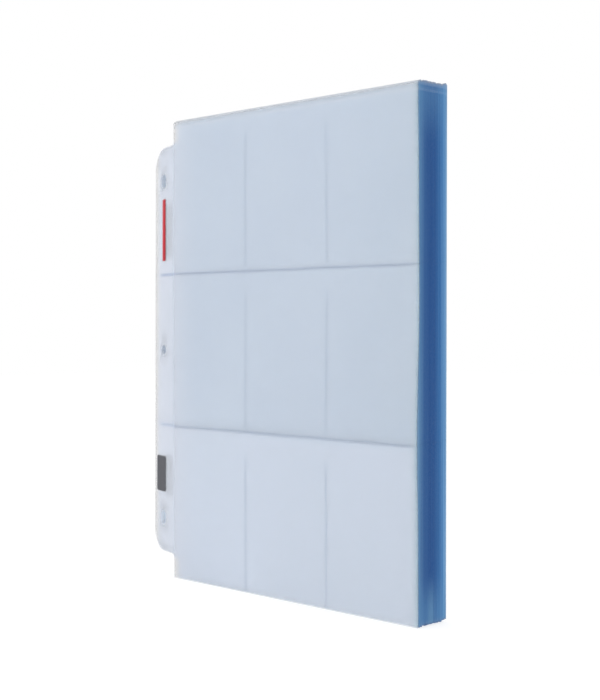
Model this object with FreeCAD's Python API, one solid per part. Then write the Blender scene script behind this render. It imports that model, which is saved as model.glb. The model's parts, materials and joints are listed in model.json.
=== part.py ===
import FreeCAD, Part
import os

# A block of loose nine-pocket trading-card pages, standing on its lower edges with the front page towards -Y.
# X runs along the page from the binding strip to the open edge, Y from the front page to the rear one, Z up.
# The origin is the middle of the block's footprint. Every page is a backing film with a punched binding strip
# along its left edge, and three pocket films welded to its front. The strip is the backing film's own margin;
# it is a solid of its own because it leans back from the fold where the two meet.
# All sizes are in millimetres.

# Driving dimensions of one page
FILM = 0.11  # thickness of every film
POCKET_WIDTH = 200.0 / 3  # one pocket, for a card 63.5 wide
POCKETS_PER_ROW = 3
PAGE_HEIGHT = 287.0
ROW_SEAMS = (96.0, 192.0)  # heights at which one pocket row ends and the next begins
MOUTH_SLIT = 0.6  # free height between the mouth of a row and the seam above it

# The binding strip
STRIP_WIDTH = 28.5
STRIP_LENGTH = 258.0
STRIP_CORNER = 14.0  # radius of the two outer corners
NOTCH_FILLET = 3.0  # radius where the strip meets the page's left edge
HOLE_INSET = 12.7  # outer edge to the centres of the ring holes
HOLE_PITCH = 107.95
HOLE_RADIUS = 3.5
SLOT_LENGTH = 10.0  # the upper and lower holes are slots, so that rings of small differences fit

# The block
PAGES = 100
PAGE_PITCH = 0.242  # two films and the air to the next page
STRIP_SET_BACK = 9.3  # strips pack closer than pockets do, which draws the front page's outer edge back by this
SINGLE_PAGES = 4  # front pages that are nodes of their own
PACKETS = [(5, 10)] + [(n, n + 9) for n in range(11, 90, 10)] + [(91, 99)]  # first and last page of each

# Derived places
POCKET_AREA_WIDTH = POCKETS_PER_ROW * POCKET_WIDTH
BLOCK_DEPTH = (PAGES - 1) * PAGE_PITCH + 2 * FILM
LEFT = -(STRIP_WIDTH + POCKET_AREA_WIDTH) / 2  # outer edge of the strip
CREASE = LEFT + STRIP_WIDTH  # where the strip meets the pocket area
RIGHT = CREASE + POCKET_AREA_WIDTH  # open edge of the page
FRONT = -BLOCK_DEPTH / 2
STRIP_BOTTOM = (PAGE_HEIGHT - STRIP_LENGTH) / 2
STRIP_TOP = STRIP_BOTTOM + STRIP_LENGTH
HOLE_X = LEFT + HOLE_INSET
CUTTER_MARGIN = 1.0


def point(x, z):
    """A point of the page's outline, in the plane just in front of the block."""
    return FreeCAD.Vector(x, FRONT - CUTTER_MARGIN, z)


def quarter_arc(start, centre, end):
    """The quarter circle from start to end about centre."""
    radius = (start - centre).Length
    middle = centre + (start - centre + end - centre).normalize() * radius
    return Part.Arc(start, middle, end).toShape()


def through(face):
    """A flat outline carried through the whole depth of the block."""
    return face.extrude(FreeCAD.Vector(0, BLOCK_DEPTH + 2 * CUTTER_MARGIN, 0))


def strip_outline():
    """The binding strip seen from the front: round outer corners, and fillets where it meets the page's edge."""
    bottom_in = point(CREASE, STRIP_BOTTOM - NOTCH_FILLET)
    bottom_out = point(CREASE - NOTCH_FILLET, STRIP_BOTTOM)
    top_out = point(CREASE - NOTCH_FILLET, STRIP_TOP)
    top_in = point(CREASE, STRIP_TOP + NOTCH_FILLET)
    corner_low = point(LEFT + STRIP_CORNER, STRIP_BOTTOM)
    edge_low = point(LEFT, STRIP_BOTTOM + STRIP_CORNER)
    edge_high = point(LEFT, STRIP_TOP - STRIP_CORNER)
    corner_high = point(LEFT + STRIP_CORNER, STRIP_TOP)
    edges = [
        Part.LineSegment(bottom_in, top_in).toShape(),
        quarter_arc(top_in, point(CREASE - NOTCH_FILLET, STRIP_TOP + NOTCH_FILLET), top_out),
        Part.LineSegment(top_out, corner_high).toShape(),
        quarter_arc(corner_high, point(LEFT + STRIP_CORNER, STRIP_TOP - STRIP_CORNER), edge_high),
        Part.LineSegment(edge_high, edge_low).toShape(),
        quarter_arc(edge_low, point(LEFT + STRIP_CORNER, STRIP_BOTTOM + STRIP_CORNER), corner_low),
        Part.LineSegment(corner_low, bottom_out).toShape(),
        quarter_arc(bottom_out, point(CREASE - NOTCH_FILLET, STRIP_BOTTOM - NOTCH_FILLET), bottom_in),
    ]
    return Part.Face(Part.Wire(edges))


def ring_hole(height, length):
    """A hole for one binder ring: round when its length is its width, otherwise an upright slot."""
    depth = BLOCK_DEPTH + 2 * CUTTER_MARGIN
    run = length - 2 * HOLE_RADIUS
    low = point(HOLE_X, height - run / 2)
    hole = Part.makeCylinder(HOLE_RADIUS, depth, low, FreeCAD.Vector(0, 1, 0))
    if run > 0:
        high = point(HOLE_X, height + run / 2)
        upper = Part.makeCylinder(HOLE_RADIUS, depth, high, FreeCAD.Vector(0, 1, 0))
        straight = Part.makeBox(2 * HOLE_RADIUS, depth, run, low - FreeCAD.Vector(HOLE_RADIUS, 0, 0))
        hole = hole.fuse([upper, straight]).removeSplitter()
    return hole


def punched_strip():
    """The strip's outline through the whole block, with its three ring holes."""
    middle = PAGE_HEIGHT / 2
    holes = [
        ring_hole(middle - HOLE_PITCH, SLOT_LENGTH),
        ring_hole(middle, 2 * HOLE_RADIUS),
        ring_hole(middle + HOLE_PITCH, SLOT_LENGTH),
    ]
    return through(strip_outline()).cut(holes)


def backing_front(page):
    """Where a page's backing film begins in the pocket area; its pocket films lie in front of it."""
    return FRONT + (page - 1) * PAGE_PITCH + FILM


def strip_front(page):
    """Where the same film begins at the strip's outer edge: set back at the front, flat at the rear."""
    share = (page - 1) / (PAGES - 1)
    first = FRONT + STRIP_SET_BACK
    return first + share * (backing_front(PAGES) - first)


def backing(page):
    """A page's flat backing film."""
    corner = FreeCAD.Vector(CREASE, backing_front(page), 0)
    return Part.makeBox(POCKET_AREA_WIDTH, FILM, PAGE_HEIGHT, corner)


def binding_strip(page, cutter):
    """A page's punched strip, which leans back from the fold onto the strip behind it."""
    at_fold = backing_front(page)
    at_edge = strip_front(page)
    section = [
        FreeCAD.Vector(CREASE, at_fold, 0),
        FreeCAD.Vector(CREASE, at_fold + FILM, 0),
        FreeCAD.Vector(LEFT, at_edge + FILM, 0),
        FreeCAD.Vector(LEFT, at_edge, 0),
    ]
    face = Part.Face(Part.makePolygon(section + section[:1]))
    sheet = face.extrude(FreeCAD.Vector(0, 0, PAGE_HEIGHT))
    return sheet.common(cutter).Solids[0]


def pocket_films(page):
    """The bottom, middle and top pocket films of a page, each a row of three pockets open at its top."""
    floors = (0.0,) + ROW_SEAMS
    mouths = ROW_SEAMS + (PAGE_HEIGHT + MOUTH_SLIT,)
    corner_y = backing_front(page) - FILM
    films = []
    for floor, mouth in zip(floors, mouths):
        height = mouth - MOUTH_SLIT - floor
        films.append(Part.makeBox(POCKET_AREA_WIDTH, FILM, height, FreeCAD.Vector(CREASE, corner_y, floor)))
    return films


def write(node, solids):
    """One STEP file for a node: a single film, or a group of separate ones."""
    shape = solids[0] if len(solids) == 1 else Part.makeCompound(solids)
    if not shape.isValid() or len(shape.Solids) != len(solids):
        raise RuntimeError(node + " isn't a sound group of films")
    shape.exportStep("parts/" + node + ".step")


def write_single_page(page, cutter):
    """The films of one page, each a node of its own."""
    name = "page_%03d_" % page
    write(name + "backing", [backing(page)])
    write(name + "binding_strip", [binding_strip(page, cutter)])
    for row, film in zip(("bottom", "middle", "top"), pocket_films(page)):
        write(name + row + "_pockets", [film])


def sheets(first, last, cutter):
    """The backings of a run of pages with their strips."""
    found = []
    for page in range(first, last + 1):
        found += [backing(page), binding_strip(page, cutter)]
    return found


def write_packet(first, last, cutter):
    """Pages that lie together: the front page's backing and strip, those of the others, and all pocket films."""
    pockets = [film for page in range(first, last + 1) for film in pocket_films(page)]
    write("page_%03d_sheet" % first, sheets(first, first, cutter))
    write("pages_%03d_%03d_sheets" % (first + 1, last), sheets(first + 1, last, cutter))
    write("pages_%03d_%03d_pockets" % (first, last), pockets)


os.makedirs("parts", exist_ok=True)
strip_cutter = punched_strip()
for number in list(range(1, SINGLE_PAGES + 1)) + [PAGES]:
    write_single_page(number, strip_cutter)
for first_page, last_page in PACKETS:
    write_packet(first_page, last_page, strip_cutter)
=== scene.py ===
import json
import math
import random

import bpy
import numpy as np
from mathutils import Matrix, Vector
from mathutils.geometry import delaunay_2d_cdt

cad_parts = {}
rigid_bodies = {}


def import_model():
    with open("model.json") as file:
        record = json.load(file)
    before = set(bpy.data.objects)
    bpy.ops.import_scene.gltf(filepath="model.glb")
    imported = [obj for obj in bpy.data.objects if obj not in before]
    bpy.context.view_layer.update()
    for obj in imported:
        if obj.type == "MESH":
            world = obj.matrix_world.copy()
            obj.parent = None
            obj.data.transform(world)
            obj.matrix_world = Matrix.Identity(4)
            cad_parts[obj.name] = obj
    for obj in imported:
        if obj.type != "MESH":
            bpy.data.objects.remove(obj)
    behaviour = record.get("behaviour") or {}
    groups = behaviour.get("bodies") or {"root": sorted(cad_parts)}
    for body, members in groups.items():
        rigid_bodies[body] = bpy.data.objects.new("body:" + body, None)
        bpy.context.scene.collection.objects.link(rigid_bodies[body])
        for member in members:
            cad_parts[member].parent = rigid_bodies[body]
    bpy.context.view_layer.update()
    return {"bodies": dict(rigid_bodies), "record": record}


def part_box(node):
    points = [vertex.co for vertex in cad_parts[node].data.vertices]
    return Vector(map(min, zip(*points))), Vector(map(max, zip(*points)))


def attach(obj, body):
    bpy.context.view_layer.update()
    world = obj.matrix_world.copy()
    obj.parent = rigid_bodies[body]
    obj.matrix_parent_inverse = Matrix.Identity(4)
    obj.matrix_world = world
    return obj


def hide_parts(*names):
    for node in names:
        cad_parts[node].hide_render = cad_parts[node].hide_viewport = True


# The looks of a block of nine-pocket card pages. Every page is a backing film that runs on into its
# punched binding strip, with three pocket films in front. All films are thin closed solids that share one
# smooth bend, so they nest. The script works in millimetres and writes meshes in metres. u is measured
# along the page from the fold between strip and pockets, z upwards, y into the block.

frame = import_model()
MM = 0.001


# ---------------------------------------------------------------- measures taken from the frame

def box_mm(node):
    low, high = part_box(node)
    return low / MM, high / MM


def pages_of(name):
    """The first and last page number in the name of a body or node."""
    numbers = [int(word) for word in name.split("_") if word.isdigit()]
    return numbers[0], numbers[-1]


PAGES = max(pages_of(body)[1] for body in frame["bodies"])
page_low, page_high = box_mm("page_001_backing")
FOLD_X = page_low.x
WIDTH = page_high.x - page_low.x
HEIGHT = page_high.z
FILM = page_high.y - page_low.y
FIRST_Y = page_low.y
LAST_Y = box_mm("page_%03d_backing" % PAGES)[0].y
PAGE_PITCH = (LAST_Y - FIRST_Y) / (PAGES - 1)
ROWS = {row: box_mm("page_001_%s_pockets" % row) for row in ("bottom", "middle", "top")}
FLOORS = {row: low.z for row, (low, high) in ROWS.items()}
MOUTHS = {row: high.z for row, (low, high) in ROWS.items()}
MOUTH_SLIT = FLOORS["middle"] - MOUTHS["bottom"]
POCKET = WIDTH / 3

NOTCH_FILLET = 3.0
STRIP_CORNER = 14.0
strip_low, strip_high = box_mm("page_001_binding_strip")
STRIP_WIDTH = FOLD_X - strip_low.x
STRIP_BOTTOM = strip_low.z + NOTCH_FILLET
STRIP_TOP = strip_high.z - NOTCH_FILLET
SET_BACK = strip_high.y - FILM - FIRST_Y

mounts = {mount["name"]: mount for mount in frame["record"]["mounts"]}
HOLE_U = mounts["middle_ring_hole"]["pos_m"][0] / MM - FOLD_X
HOLE_Z = mounts["middle_ring_hole"]["pos_m"][2] / MM
HOLE_RADIUS = mounts["middle_ring_hole"]["dims"]["r_mm"]
SLOT_LENGTH = mounts["ring_slots"]["dims"]["slot_length_mm"]
HOLE_PITCH = mounts["ring_slots"]["dims"]["spacing_y_mm"] / 2


# ---------------------------------------------------------------- how the films bend

FOLD_SOFT = 4.0  # the fold is spread over this far to each side
FLAT_WIDTH = 30.0  # the stack's waviness begins this far from the fold
CROWN = 0.40  # height of the front page's pockets between their welds
CROWN_FADE = 1.2  # pages over which that crown dies away
MOUTH_RISE = 0.28  # how far a mouth lifts the films behind it
HIDDEN_LIFT = 0.8  # share of the free slit that the mouths of hidden pages fill
CLEAR_PAGES = 4  # front pages that show their own relief
WAVE = ((0, 0.15), (48, -0.2), (96, -1.1), (173, 0.75), (235, 0.1), (287, -0.7))  # at the open edge
LIP_REACH = 9.0
LIP_OPEN = 0.9  # how far the front page's mouths stand open
STRIP_FLARE = 0.2  # the strips lean back less by this share at the foot
WELD_END = 15.0  # the welds between pockets stop this far below the mouth
SAG_REACH = 5.0
SAG_SHARE = {"bottom": 0.5, "middle": 0.5, "top": 1.6}

FRONT_LIFT = 0.7  # how unevenly the clear pages stand
HIDDEN_PAGE_LIFT = 1.4  # and the pages behind them
rng = random.Random(11)
PAGE_LIFT = [0.0]
PAGE_SLIDE = [0.0]
for number in range(2, PAGES + 1):
    back_share = number / PAGES
    settled = 0.35 * min(back_share / 0.3, 1) + 0.9 * max(0.0, (back_share - 0.86) / 0.14)
    reach = FRONT_LIFT if number <= CLEAR_PAGES else HIDDEN_PAGE_LIFT
    PAGE_LIFT.append(settled + rng.uniform(0, reach))
    PAGE_SLIDE.append(rng.uniform(-0.05, 0.05))


def depth_share(page):
    return (page - 1) / (PAGES - 1)


def past_fold(u):
    """How far a point lies past the fold, rounded where the film bends."""
    near = np.clip(u, -FOLD_SOFT, FOLD_SOFT)
    return np.where(u <= -FOLD_SOFT, -u, (FOLD_SOFT - near) ** 2 / (4 * FOLD_SOFT))


def eased(z, stations):
    """A smooth line through (height, value) stations."""
    found = np.zeros_like(z)
    for (z0, a), (z1, b) in zip(stations, stations[1:]):
        share = np.clip((z - z0) / (z1 - z0), 0, 1)
        step = a + (b - a) * (1 - np.cos(np.pi * share)) / 2
        found = np.where((z >= z0) | (z0 == stations[0][0]), step, found)
    return found


def wave(u, z):
    """The stack's own waviness, which grows towards the open edge."""
    along = np.clip((u - FLAT_WIDTH) / (WIDTH - FLAT_WIDTH), 0, 1) ** 2
    ripple = 0.10 * np.sin(u / 31 + 0.6) * np.sin(z / 43 + 1.1) * np.clip(u / 40, 0, 1)
    return along * eased(z, WAVE) + ripple


def lip(u, z, mouth):
    """Where a row's mouth stands away from the page behind it: 1 at the mouth, fading below it."""
    share = np.clip(u / WIDTH, 0, 1)
    across = (4 * share * (1 - share)) ** 0.4 * (0.55 + 0.45 * share)
    return across * np.exp(-np.abs(mouth - z) / LIP_REACH)


def pillow(u, z):
    """The slight crown of each pocket between its welds."""
    along = np.clip(u / POCKET, 0, 3)
    part = along - np.floor(np.minimum(along, 2.999999))
    narrow = (4 * part * (1 - part)) ** 0.75
    share = np.clip(u / WIDTH, 0, 1)
    wide = (4 * share * (1 - share)) ** 0.4
    crown = np.zeros_like(z)
    for row, floor in FLOORS.items():
        mouth = MOUTHS[row]
        rise = 1 - (1 - np.clip((z - floor) / (0.5 * (mouth - floor)), 0, 1)) ** 2
        free = np.clip((z - (mouth - WELD_END)) / 8, 0, 1)
        here = rise * ((1 - free) * narrow + free * (0.5 + 0.5 * narrow) * wide)
        crown = np.where((z >= floor) & (z <= mouth), here, crown)
    return crown


def film_front(u, z, page, row=None):
    """y of a film's front face: a page's backing, or one of its pocket films."""
    share = depth_share(page)
    y = FIRST_Y + PAGE_PITCH * (page - 1)
    lean = 1 - STRIP_FLARE * np.clip(1 - z / HEIGHT, 0, 1)
    y = y + SET_BACK * (1 - share) * lean * past_fold(u) / STRIP_WIDTH
    y = y + (1 - share) ** 2 * wave(u, z)
    if row:
        y = y - FILM
    if page <= CLEAR_PAGES:
        layer = page - 1 if row else page - 0.5
        y = y - CROWN * math.exp(-layer / CROWN_FADE) * pillow(u, z)
        for mouth in MOUTHS.values():
            y = y - MOUTH_RISE * math.exp(-layer) * lip(u, z, mouth)
        if row and page == 1:
            opening = LIP_OPEN * (1.3 if row == "bottom" else 0.6)
            y = y - opening * lip(u, z, MOUTHS[row])
    return y


def mouth_sag(u, z, row):
    """The mouth's edge hangs a little lower where no weld holds it up."""
    part = np.clip(u / POCKET, 0, 3) % 1.0
    drop = 0.25 + 0.55 * (1 - np.cos(2 * np.pi * part)) / 2 + 0.2 * np.sin(u / 17)
    return drop * np.exp(-(MOUTHS[row] - z) / SAG_REACH) * SAG_SHARE[row]


# ---------------------------------------------------------------- cut-out patterns, in u and z

def cut_out(points, faces):
    """A flat pattern: its points, its faces and its rim as directed edges."""
    edges = set()
    for face in faces:
        edges.update(zip(face, face[1:] + face[:1]))
    rim = [(a, b) for a, b in edges if (b, a) not in edges]
    return np.array(points, float), faces, sorted(rim)


def grid(us, zs):
    points = [(u, z) for z in zs for u in us]
    faces = []
    for j in range(len(zs) - 1):
        for i in range(len(us) - 1):
            a = j * len(us) + i
            faces.append([a, a + 1, a + 1 + len(us), a + len(us)])
    return points, faces


def divided(start, end, parts):
    return [start + (end - start) * n / parts for n in range(parts + 1)]


def along_page(per_pocket):
    return divided(0.0, WIDTH, 3 * per_pocket)


def row_heights(row, parts):
    return divided(FLOORS[row], MOUTHS[row], parts)


def page_heights(parts):
    """Heights for a backing: each row's own, and the ends of the fold."""
    ends = [FLOORS["bottom"], FLOORS["middle"], FLOORS["top"], HEIGHT]
    found = {STRIP_BOTTOM - NOTCH_FILLET, STRIP_TOP + NOTCH_FILLET}
    for low, high in zip(ends, ends[1:]):
        found.update(divided(low, high, parts))
    ordered = sorted(found)
    return ordered[:1] + [z for z, before in zip(ordered[1:], ordered) if z - before > 0.01]


def arc(centre_u, centre_z, radius, start, end, parts):
    """Points on an arc from one angle to another, in degrees."""
    turns = [math.radians(a) for a in divided(start, end, parts)]
    return [(centre_u + radius * math.cos(t), centre_z + radius * math.sin(t)) for t in turns]


def ring_holes():
    """The three holes: a round one between two upright slots."""
    run = (SLOT_LENGTH - 2 * HOLE_RADIUS) / 2
    holes = [arc(HOLE_U, HOLE_Z, HOLE_RADIUS, 0, 360, 28)[:-1]]
    for height in (HOLE_Z - HOLE_PITCH, HOLE_Z + HOLE_PITCH):
        upper = arc(HOLE_U, height + run, HOLE_RADIUS, 0, 180, 14)
        lower = arc(HOLE_U, height - run, HOLE_RADIUS, 180, 360, 14)
        holes.append(upper + lower)
    return holes


def inside(point, loop):
    """Whether a point lies in a closed loop, by counting the edges to its right."""
    u, z = point
    crossed = False
    for (u0, z0), (u1, z1) in zip(loop, loop[1:] + loop[:1]):
        if (z0 > z) != (z1 > z) and u < u0 + (u1 - u0) * (z - z0) / (z1 - z0):
            crossed = not crossed
    return crossed


def binding_strip(heights):
    """Points and triangles of the strip, whose side at the fold meets the page's own heights."""
    low, high = STRIP_BOTTOM - NOTCH_FILLET, STRIP_TOP + NOTCH_FILLET
    fold = [(0.0, z) for z in heights if low - 0.001 <= z <= high + 0.001]
    inner, outer = STRIP_CORNER, STRIP_WIDTH
    outline = fold
    outline = outline + arc(-NOTCH_FILLET, high, NOTCH_FILLET, 0, -90, 4)[1:]
    outline = outline + arc(inner - outer, STRIP_TOP - inner, inner, 90, 180, 14)
    outline = outline + arc(inner - outer, STRIP_BOTTOM + inner, inner, 180, 270, 14)
    outline = outline + arc(-NOTCH_FILLET, low, NOTCH_FILLET, 90, 0, 4)[:-1]
    holes = ring_holes()
    loops = [outline] + holes
    points = []
    edges = []
    for loop in loops:
        first = len(points)
        points += loop
        edges += [(first + n, first + (n + 1) % len(loop)) for n in range(len(loop))]
    bend = [(-u, z) for u in divided(1.0, FOLD_SOFT, 3) for z in heights[::2]]
    flat = [(-u, z) for u in (9.0, 22.0) for z in heights[::4]]
    for spot in bend + flat:
        clear_of_ends = STRIP_BOTTOM + 2 < spot[1] < STRIP_TOP - 2
        if clear_of_ends and inside(spot, outline) and not any(inside(spot, hole) for hole in holes):
            points.append(spot)
    done = delaunay_2d_cdt([Vector(p) for p in points], edges, [], 0, 1e-6)
    corners = [(v.x, v.y) for v in done[0]]
    triangles = []
    for face in done[2]:
        middle = tuple(sum(corners[n][k] for n in face) / 3 for k in (0, 1))
        if inside(middle, outline) and not any(inside(middle, hole) for hole in holes):
            triangles.append(list(face))
    return corners, triangles


def facing_front(points, face):
    """The face's corners, counter-clockwise seen from the front."""
    total = 0.0
    for a, b in zip(face, face[1:] + face[:1]):
        total += points[a][0] * points[b][1] - points[b][0] * points[a][1]
    return face if total > 0 else face[::-1]


def page_pattern(per_pocket, parts):
    """The backing film with its strip, in one piece."""
    heights = page_heights(parts)
    points, faces = grid(along_page(per_pocket), heights)
    known = {(0.0, round(z, 4)): n for n, (u, z) in enumerate(points) if u == 0.0}
    corners, triangles = binding_strip(heights)
    number = []
    for u, z in corners:
        key = (round(u, 4) + 0.0, round(z, 4))
        if key not in known:
            known[key] = len(points)
            points.append((u, z))
        number.append(known[key])
    faces += [facing_front(points, [number[n] for n in face]) for face in triangles]
    return cut_out(points, faces)


def row_pattern(row, per_pocket, parts):
    return cut_out(*grid(along_page(per_pocket), row_heights(row, parts)))


# ---------------------------------------------------------------- film solids

FACE, CUT = 0, 1  # material slots of a film


class Films:
    """Thin closed solids gathered into one mesh."""

    def __init__(self):
        self.points = []
        self.faces = []
        self.finish = []
        self.count = 0

    def add(self, pattern, front, back, shift=(0.0, 0.0), face_finish=FACE, rim_finish=CUT):
        """A pattern between two surfaces, each given as y at its points; shift moves it along u and z."""
        flat, faces, rim = pattern
        n = len(flat)
        x = flat[:, 0] + FOLD_X + shift[0]
        z = flat[:, 1] + shift[1]
        self.points.append(np.column_stack([x, front, z]))
        self.points.append(np.column_stack([x, back, z]))
        base = self.count
        self.faces += [[base + i for i in face] for face in faces]
        self.faces += [[base + n + i for i in reversed(face)] for face in faces]
        self.faces += [[base + a, base + n + a, base + n + b, base + b] for a, b in rim]
        self.finish += [face_finish] * (2 * len(faces)) + [rim_finish] * len(rim)
        self.count += 2 * n

    def piece(self, name, materials):
        mesh = bpy.data.meshes.new(name)
        places = np.vstack(self.points) * MM
        mesh.from_pydata(places.tolist(), [], self.faces)
        for material in materials:
            mesh.materials.append(material)
        mesh.polygons.foreach_set("material_index", self.finish)
        mesh.polygons.foreach_set("use_smooth", [f != CUT for f in self.finish])
        mesh.update()
        piece = bpy.data.objects.new(name, mesh)
        bpy.context.scene.collection.objects.link(piece)
        return piece


def add_backing(films, page, pattern):
    slide, lift = PAGE_SLIDE[page - 1], PAGE_LIFT[page - 1]
    u, z = pattern[0][:, 0] + slide, pattern[0][:, 1] + lift
    front = film_front(u, z, page)
    films.add(pattern, front, front + FILM, (slide, lift))


def add_row(films, page, row, pattern):
    slide, lift = PAGE_SLIDE[page - 1], PAGE_LIFT[page - 1]
    flat, faces, rim = pattern
    sag = mouth_sag(flat[:, 0], flat[:, 1], row)
    if page > CLEAR_PAGES and row != "top":
        sag = -HIDDEN_LIFT * MOUTH_SLIT * np.exp(-(MOUTHS[row] - flat[:, 1]) / SAG_REACH)
    lowered = np.column_stack([flat[:, 0], flat[:, 1] - sag])
    front = film_front(lowered[:, 0] + slide, lowered[:, 1] + lift, page, row)
    films.add((lowered, faces, rim), front, front + FILM, (slide, lift))


# ---------------------------------------------------------------- materials

def tone(red, green, blue):
    """A colour as it looks, 0 to 255, as the linear value that a shader takes."""
    linear = []
    for c in (red, green, blue):
        linear.append(c / 255 / 12.92 if c <= 10 else ((c / 255 + 0.055) / 1.055) ** 2.4)
    return (*linear, 1.0)


def milky(red, green, blue):
    """A film's tone, lighter by what the clear films lose to each other."""
    return tone(min(red + 10, 255), min(green + 8, 255), min(blue + 4, 255))


class Graph:
    """Short calls for the nodes of one material, with places in millimetres."""

    def __init__(self, name):
        self.material = bpy.data.materials.new(name)
        self.material.use_nodes = True
        self.tree = self.material.node_tree
        self.shader = self.tree.nodes["Principled BSDF"]
        source = self.node("ShaderNodeTexCoord").outputs["Object"]
        scaled = self.node("ShaderNodeVectorMath", operation="SCALE")
        self.put(scaled, "Scale", 1 / MM)
        self.put(scaled, 0, source)
        self.place = scaled.outputs[0]
        split = self.node("ShaderNodeSeparateXYZ")
        self.put(split, 0, self.place)
        self.x, self.y, self.z = split.outputs
        self.u = self.math("SUBTRACT", self.x, FOLD_X)

    def node(self, kind, **settings):
        made = self.tree.nodes.new(kind)
        for key, value in settings.items():
            setattr(made, key, value)
        return made

    def put(self, node, socket, value):
        target = node.inputs[socket]
        if isinstance(value, bpy.types.NodeSocket):
            self.tree.links.new(value, target)
        else:
            target.default_value = value

    def math(self, operation, a, b=0.0):
        made = self.node("ShaderNodeMath", operation=operation)
        self.put(made, 0, a)
        self.put(made, 1, b)
        return made.outputs[0]

    def ease(self, value, start, end, low=0.0, high=1.0):
        """low at start, high at end, eased between and held beyond."""
        made = self.node("ShaderNodeMapRange", interpolation_type="SMOOTHSTEP")
        for socket, number in zip(range(5), (value, start, end, low, high)):
            self.put(made, socket, number)
        return made.outputs[0]

    def line(self, value, centre, half, soft):
        """1 within half of centre, fading to 0 over soft."""
        away = self.math("ABSOLUTE", self.math("SUBTRACT", value, centre))
        return self.ease(away, half + soft, half)

    def both(self, first, *others):
        for other in others:
            first = self.math("MULTIPLY", first, other)
        return first

    def most(self, first, *others):
        for other in others:
            first = self.math("MAXIMUM", first, other)
        return first

    def noise(self, stretch, detail=2.0):
        """Noise from 0 to 1 with its own scale, per millimetre, along each axis."""
        scaled = self.node("ShaderNodeVectorMath", operation="MULTIPLY")
        self.put(scaled, 0, self.place)
        self.put(scaled, 1, stretch)
        made = self.node("ShaderNodeTexNoise")
        self.put(made, "Vector", scaled.outputs[0])
        self.put(made, "Scale", 1.0)
        self.put(made, "Detail", detail)
        return made.outputs["Fac"]

    def mix(self, share, a, b):
        made = self.node("ShaderNodeMix", data_type="RGBA")
        self.put(made, 0, share)
        self.put(made, 6, a)
        self.put(made, 7, b)
        return made.outputs[2]

    def ramp(self, value, stops):
        made = self.node("ShaderNodeValToRGB")
        self.put(made, 0, value)
        elements = made.color_ramp.elements
        while len(elements) < len(stops):
            elements.new(0.5)
        for element, (place, colour) in zip(elements, stops):
            element.position = place
            element.color = colour
        return made.outputs[0]


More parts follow.
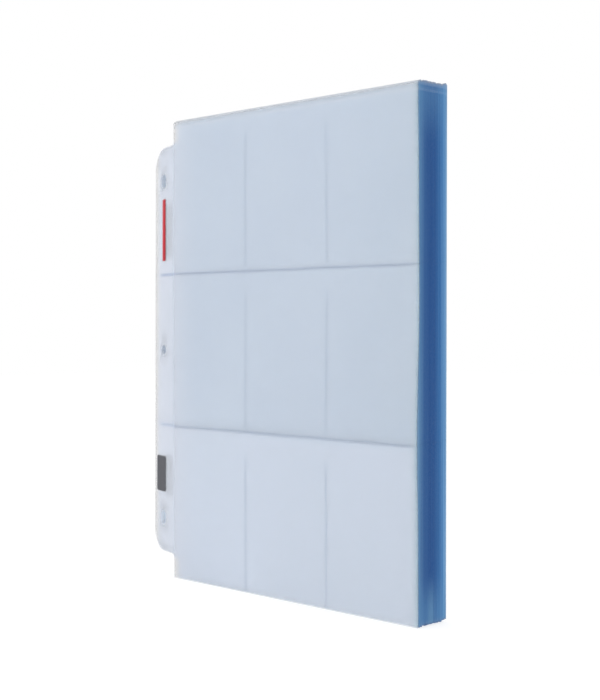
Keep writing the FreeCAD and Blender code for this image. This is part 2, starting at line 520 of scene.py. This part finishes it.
def film_material(name, alpha, roughness):
    """A film's faces: milky blue where films lie together, with welds and mouths as darker lines."""
    g = Graph(name)
    wander = g.math("MULTIPLY", g.math("SUBTRACT", g.noise((0.035, 0.0, 0.01), 1.0), 0.5), 1.6)
    z = g.math("ADD", g.z, wander)
    u = g.u
    above_strip = g.ease(g.z, STRIP_TOP, STRIP_TOP + 4)
    below_strip = g.ease(g.z, STRIP_BOTTOM, STRIP_BOTTOM - 4)
    beside_strip = g.most(above_strip, below_strip)

    # painted light: the bottom row is lighter, standing in for light that the floor throws up onto it
    floor_lit_bottom_row = g.ease(z, FLOORS["middle"], FLOORS["middle"] - 1.5)
    colour = g.mix(floor_lit_bottom_row, milky(200, 211, 226), milky(208, 217, 231))
    above = g.ease(z, FLOORS["middle"] - 1, FLOORS["middle"] + 1)
    colour = g.mix(g.both(g.ease(u, 120, 196), above), colour, milky(197, 209, 224))
    cloud = g.noise((0.02, 0.02, 0.014), 2.0)
    colour = g.mix(g.ease(cloud, 0.35, 0.75, 0.0, 0.35), colour, milky(206, 216, 229))
    colour = g.mix(g.ease(u, 24, -16, 0.0, 0.95), colour, milky(214, 220, 232))

    # the outer edges are whiter, because fewer films lie behind them
    pale = g.most(g.ease(u, 9 - STRIP_WIDTH, -STRIP_WIDTH), g.both(g.ease(u, 8, 0), beside_strip))
    colour = g.mix(g.both(pale, 0.85), colour, milky(232, 232, 234))

    # painted shade above the bottom row's open mouth, then the seams of the rows, and under each seam a
    # painted highlight where the lip of the mouth beneath catches the light
    from_above = g.ease(z, FLOORS["middle"] + 9, FLOORS["middle"])
    shade = g.both(from_above, g.ease(z, FLOORS["middle"] - 0.6, FLOORS["middle"]))
    colour = g.mix(g.both(shade, g.ease(u, -24, 60, 0.1, 0.3)), colour, milky(186, 198, 213))
    over_strip = g.both(g.line(u, -9, 7, 8), 0.85)
    fade = g.most(g.ease(u, -25, -8, 0.1, 0.42), over_strip)
    for row, thick, strength in (("middle", 0.75, 0.6), ("top", 0.5, 0.95)):
        seam = g.line(z, FLOORS[row], thick, 0.7)
        colour = g.mix(g.both(seam, fade, strength), colour, milky(172, 186, 212))
        # painted highlight along the lip of the mouth just below this seam
        lit = g.line(z, FLOORS[row] - 2.0, 0.3, 0.9)
        colour = g.mix(g.both(lit, g.ease(u, 20, 120, 0.0, 0.55)), colour, milky(203, 216, 231))

    # the welds between pockets and the one down the open side
    for row, mouth in MOUTHS.items():
        below_mouth = g.ease(z, mouth - WELD_END + 4, mouth - WELD_END)
        held = g.both(below_mouth, g.ease(z, FLOORS[row] - 0.5, FLOORS[row]))
        for place in (POCKET, 2 * POCKET):
            weld = g.line(u, place, 0.45, 1.1)
            colour = g.mix(g.both(weld, held, 0.55), colour, milky(183, 196, 213))
    colour = g.mix(g.ease(u, WIDTH - 4.6, WIDTH - 2.6, 0.0, 0.9), colour, milky(199, 212, 225))
    colour = g.mix(g.ease(u, WIDTH - 2.6, WIDTH - 0.2, 0.0, 0.9), colour, milky(180, 202, 218))
    if alpha == 1:
        colour = g.mix(g.ease(g.u, WIDTH - 1.0, WIDTH - 0.4), colour, tone(40, 84, 142))

    # the upper edge: a thin line of film edges with a painted highlight under it
    rise = g.math("MULTIPLY", g.math("SUBTRACT", g.noise((0.05, 0.0, 0.0), 1.0), 0.5), 2.2)
    top = g.math("ADD", g.z, rise)
    colour = g.mix(g.both(g.line(top, HEIGHT - 2.0, 0.2, 0.7), 0.3), colour, milky(190, 200, 210))
    # painted highlight: a pale line just under the upper edge
    colour = g.mix(g.both(g.line(top, HEIGHT - 3.1, 0.3, 0.7), 0.5), colour, milky(212, 220, 231))
    colour = g.mix(g.ease(g.z, HEIGHT - 1.4, HEIGHT - 0.2, 0.0, 0.5), colour, milky(206, 210, 216))

    # the print of the pages behind shows as a haze beside each mark
    for height, half in ((64, 10), (220, 14)):
        haze = g.both(g.line(u, -8.0, 2.5, 6.0), g.line(g.z, height, half, 6))
        colour = g.mix(g.both(haze, 0.6), colour, milky(188, 194, 205))

    fine = g.noise((1.1, 1.1, 1.1), 1.0)
    colour = g.mix(g.ease(fine, 0.3, 0.7, 0.0, 0.10), colour, milky(186, 200, 218))
    g.put(g.shader, "Base Color", colour)
    g.put(g.shader, "Roughness", roughness)
    g.put(g.shader, "Specular IOR Level", 0.28)
    g.put(g.shader, "Alpha", alpha)

    seams = g.most(g.line(z, FLOORS["middle"], 0.5, 0.6), g.line(z, FLOORS["top"], 0.5, 0.6))
    soft = g.noise((0.12, 0.12, 0.09), 1.0)
    height = g.math("SUBTRACT", g.both(soft, 1.6), g.both(seams, 0.3))
    bump = g.node("ShaderNodeBump")
    g.put(bump, "Strength", 0.25)
    g.put(bump, "Distance", 0.3 * MM)
    g.put(bump, "Height", height)
    g.put(g.shader, "Normal", bump.outputs[0])
    return g.material


CLEAR_RIM = 0.35  # how much a clear page's own cut edge hides


def cut_material(name, clear):
    """The films' cut edges, deep blue where many lie together and paler towards the outside."""
    g = Graph(name)
    share = g.node("ShaderNodeMapRange")
    for socket, number in zip(range(5), (g.y, FIRST_Y - FILM, LAST_Y + FILM, 0.0, 1.0)):
        g.put(share, socket, number)
    depth = share.outputs[0]
    wander = g.math("MULTIPLY", g.math("SUBTRACT", g.noise((0.0, 0.5, 0.012)), 0.5), 0.05)
    depth = g.math("ADD", depth, wander)
    stops = (
        (0.00, tone(120, 158, 186)),
        (0.07, tone(86, 130, 172)),
        (0.22, tone(47, 90, 145)),
        (0.40, tone(26, 74, 134)),
        (0.58, tone(32, 81, 141)),
        (0.75, tone(50, 106, 164)),
        (0.88, tone(72, 127, 182)),
        (0.95, tone(116, 162, 205)),
        (1.00, tone(148, 182, 209)),
    )
    colour = g.ramp(depth, stops)
    streak = g.noise((0.0, 4.5, 0.006), 3.0)
    colour = g.mix(g.ease(streak, 0.4, 0.8, 0.0, 0.22), colour, tone(84, 130, 180))
    dark = g.noise((0.0, 2.2, 0.009), 2.0)
    colour = g.mix(g.ease(dark, 0.5, 0.8, 0.0, 0.45), colour, tone(38, 78, 132))

    # ends of the pages, where light gets in from above and below
    near_top = g.ease(g.z, HEIGHT - 34, HEIGHT - 2, 0.0, 0.42)
    near_foot = g.ease(g.z, 30, 3, 0.0, 0.5)
    colour = g.mix(g.most(near_top, near_foot), colour, tone(90, 140, 184))
    ragged = g.math("MULTIPLY", g.math("SUBTRACT", g.noise((0.0, 1.7, 0.0), 2.0), 0.5), 9.0)
    rough_z = g.math("ADD", g.z, ragged)
    rear = g.noise((0.0, 1.3, 0.004), 2.0)
    rear_streak = g.both(g.ease(rear, 0.48, 0.62), g.ease(depth, 0.62, 0.86), 0.22)
    colour = g.mix(rear_streak, colour, tone(128, 172, 212))
    ends = g.most(g.ease(rough_z, HEIGHT - 2.0, HEIGHT + 0.8), g.ease(rough_z, 3, 0.5))
    colour = g.mix(g.both(ends, 0.5), colour, tone(132, 156, 188))
    streak_up = g.both(g.line(depth, 0.46, 0.02, 0.14), g.ease(g.z, 30, 2))
    colour = g.mix(g.both(streak_up, 0.4), colour, tone(112, 158, 190))

    # the strips are thinner together and let more light through, most of all inside the ring holes
    in_strip = g.ease(g.u, 0.0, -3.0)
    colour = g.mix(g.both(in_strip, 0.55), colour, tone(140, 172, 202))
    front = g.ease(depth, 0.75, 0.45)
    colour = g.mix(g.both(in_strip, front, 0.8), colour, tone(205, 214, 225))
    colour = g.mix(g.line(g.u, 0, 1.0, 0.6), colour, tone(212, 220, 232))
    heights = [g.line(g.z, HOLE_Z + n * HOLE_PITCH, SLOT_LENGTH / 2 + 1.5, 0.5) for n in (-1, 0, 1)]
    in_hole = g.both(g.line(g.u, HOLE_U, HOLE_RADIUS + 1, 0.5), g.most(*heights))
    colour = g.mix(in_hole, colour, tone(210, 217, 225))
    if clear:
        colour = g.mix(g.ease(g.u, WIDTH - 1.5, WIDTH - 0.5), tone(204, 213, 226), colour)
        g.put(g.shader, "Alpha", CLEAR_RIM)
    g.put(g.shader, "Base Color", colour)
    g.put(g.shader, "Roughness", 0.45)
    g.put(g.shader, "Specular IOR Level", 0.1)
    glow = g.mix(g.ease(g.z, 110, 40), tone(128, 137, 148), tone(160, 168, 177))
    g.put(g.shader, "Emission Color", g.mix(in_hole, (0, 0, 0, 1), glow))
    g.put(g.shader, "Emission Strength", 1.0)
    return g.material


def ink_material(name, colour, worn):
    """Printed ink, a little uneven where it covers thinly."""
    g = Graph(name)
    patchy = g.noise((1.6, 1.6, 1.6), 3.0)
    g.put(g.shader, "Base Color", g.mix(g.ease(patchy, 0.45, 0.8, 0.0, 0.6), colour, worn))
    g.put(g.shader, "Roughness", 0.42)
    g.put(g.shader, "Specular IOR Level", 0.2)
    return g.material


clear_film = film_material("clear_film", 0.12, 0.28)
clear_backing = film_material("clear_backing", 0.12, 0.34)
stacked_film = film_material("stacked_film", 1.0, 0.28)
stacked_backing = film_material("stacked_backing", 1.0, 0.34)
cut_edges = cut_material("cut_edges", False)
clear_edges = cut_material("clear_edges", True)
red_ink = ink_material("red_ink", tone(196, 44, 56), tone(208, 84, 92))
dark_ink = ink_material("dark_ink", tone(70, 71, 78), tone(98, 99, 106))


# ---------------------------------------------------------------- the pieces

FINE = {"per_pocket": 32, "parts": 56}
MEDIUM = {"per_pocket": 12, "parts": 28}
COARSE = {"per_pocket": 2, "parts": 20}
PATTERNS = {size["parts"]: page_pattern(**size) for size in (MEDIUM, COARSE)}
ROW_PATTERNS = {}
for size in (FINE, MEDIUM, COARSE):
    for row_name in ROWS:
        ROW_PATTERNS[row_name, size["parts"]] = row_pattern(row_name, **size)


def clad(piece, body, nodes, clear):
    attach(piece, body)
    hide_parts(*nodes)
    if clear:
        piece.visible_shadow = False


def make_single_page(page, body):
    """One page whose films can be seen through: its backing with the strip, and three rows of pockets."""
    name = "page_%03d_" % page
    films = Films()
    add_backing(films, page, PATTERNS[MEDIUM["parts"]])
    piece = films.piece(name + "backing_film", [clear_backing, clear_edges])
    clad(piece, body, [name + "backing", name + "binding_strip"], True)
    parts = FINE["parts"] if page == 1 else MEDIUM["parts"]
    for row in ROWS:
        films = Films()
        add_row(films, page, row, ROW_PATTERNS[row, parts])
        piece = films.piece(name + row + "_pocket_film", [clear_film, clear_edges])
        clad(piece, body, [name + row + "_pockets"], True)


def make_backings(pages, name, body, node):
    films = Films()
    for page in pages:
        add_backing(films, page, PATTERNS[COARSE["parts"]])
    clad(films.piece(name, [stacked_backing, cut_edges]), body, [node], False)


def make_packet(first, last, body):
    """Pages that lie together and turn as one."""
    make_backings([first], "page_%03d_backing_film" % first, body, "page_%03d_sheet" % first)
    rest = "pages_%03d_%03d_" % (first + 1, last)
    make_backings(range(first + 1, last + 1), rest + "backing_films", body, rest + "sheets")
    films = Films()
    for page in range(first, last + 1):
        for row in ROWS:
            add_row(films, page, row, ROW_PATTERNS[row, COARSE["parts"]])
    name = "pages_%03d_%03d_pocket" % (first, last)
    clad(films.piece(name + "_films", [stacked_film, cut_edges]), body, [name + "s"], False)


def rounded(left, right, low, high, radius):
    """A rectangle with round corners, counter-clockwise from its lower right one."""
    loop = arc(right - radius, low + radius, radius, -90, 0, 5)
    loop += arc(right - radius, high - radius, radius, 0, 90, 5)
    loop += arc(left + radius, high - radius, radius, 90, 180, 5)
    loop += arc(left + radius, low + radius, radius, 180, 270, 5)
    return cut_out(loop, [list(range(len(loop)))])


RED, DARK = 0, 1  # material slots of a print
INK = 0.006
INK_GAP = 0.02  # ink and film are each flat between their own points, so they keep this far apart


def print_marks():
    """Plain generic marks without any lettering: one red bar and one dark oblong."""
    bar = rounded(-17.0, -12.6, 201.0, 240.0, 0.6)
    label = rounded(-24.6, -12.4, 53.0, 75.2, 1.0)
    return [(bar, RED), (label, DARK)]


def make_print(page, body, marks):
    """The marks printed on the front of a page's strip."""
    films = Films()
    slide, lift = PAGE_SLIDE[page - 1], PAGE_LIFT[page - 1]
    for pattern, ink in marks:
        surface = film_front(pattern[0][:, 0] + slide, pattern[0][:, 1] + lift, page)
        back = surface - INK_GAP
        films.add(pattern, back - INK, back, (slide, lift), ink, ink)
    piece = films.piece("page_%03d_print" % page, [red_ink, dark_ink])
    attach(piece, body)


printed = print_marks()
for body_name in frame["bodies"]:
    first_page, last_page = pages_of(body_name)
    alone = first_page == last_page
    if alone:
        make_single_page(first_page, body_name)
    elif last_page == PAGES:
        make_packet(first_page, PAGES - 1, body_name)
        make_single_page(PAGES, body_name)
        make_print(PAGES, body_name, printed)
    else:
        make_packet(first_page, last_page, body_name)
    make_print(first_page, body_name, printed)


# ---------------------------------------------------------------- camera, light and floor

scene = bpy.context.scene
scene.view_settings.view_transform = "Standard"
scene.cycles.transparent_max_bounces = 64  # each clear page has up to four surfaces to see through

# the camera stands to the front right of the block, a little above its middle
camera = bpy.data.objects.new("camera", bpy.data.cameras.new("camera"))
camera.data.lens = 67.56
camera.data.sensor_width = 36.0
camera.location = (0.55595, -0.54469, 0.1599)
camera.rotation_euler = (math.radians(88.91), 0, math.radians(44.8))
scene.collection.objects.link(camera)
scene.camera = camera

world = bpy.data.worlds.new("studio")
world.use_nodes = True
world.node_tree.nodes["Background"].inputs["Color"].default_value = (1, 1, 1, 1)
world.node_tree.nodes["Background"].inputs["Strength"].default_value = 1.0
scene.world = world


def softbox(name, place, target, size, power):
    light = bpy.data.objects.new(name, bpy.data.lights.new(name, "AREA"))
    light.data.size = size
    light.data.energy = power
    light.location = place
    aim = Vector(target) - Vector(place)
    light.rotation_euler = aim.to_track_quat("-Z", "Y").to_euler()
    scene.collection.objects.link(light)


middle = Vector((0, 0, HEIGHT / 2)) * MM
softbox("key_light", (-0.5, -1.1, 0.75), middle, 0.9, 2.0)

floor_graph = Graph("pale_floor")
floor_graph.put(floor_graph.shader, "Base Color", (0.35, 0.35, 0.35, 1))
floor_graph.put(floor_graph.shader, "Roughness", 1.0)
floor_graph.put(floor_graph.shader, "Specular IOR Level", 0.0)
floor_graph.put(floor_graph.shader, "Emission Color", (1, 1, 1, 1))
floor_graph.put(floor_graph.shader, "Emission Strength", 0.72)
FLOOR_SIZE = 6.0
floor_mesh = bpy.data.meshes.new("floor")
FLOOR_GAP = 0.3 * MM
signs = ((-1, -1), (1, -1), (1, 1), (-1, 1))
floor_corners = [(i * FLOOR_SIZE / 2, j * FLOOR_SIZE / 2, -FLOOR_GAP) for i, j in signs]
floor_mesh.from_pydata(floor_corners, [], [(0, 1, 2, 3)])
floor_mesh.materials.append(floor_graph.material)
floor = bpy.data.objects.new("floor", floor_mesh)
scene.collection.objects.link(floor)
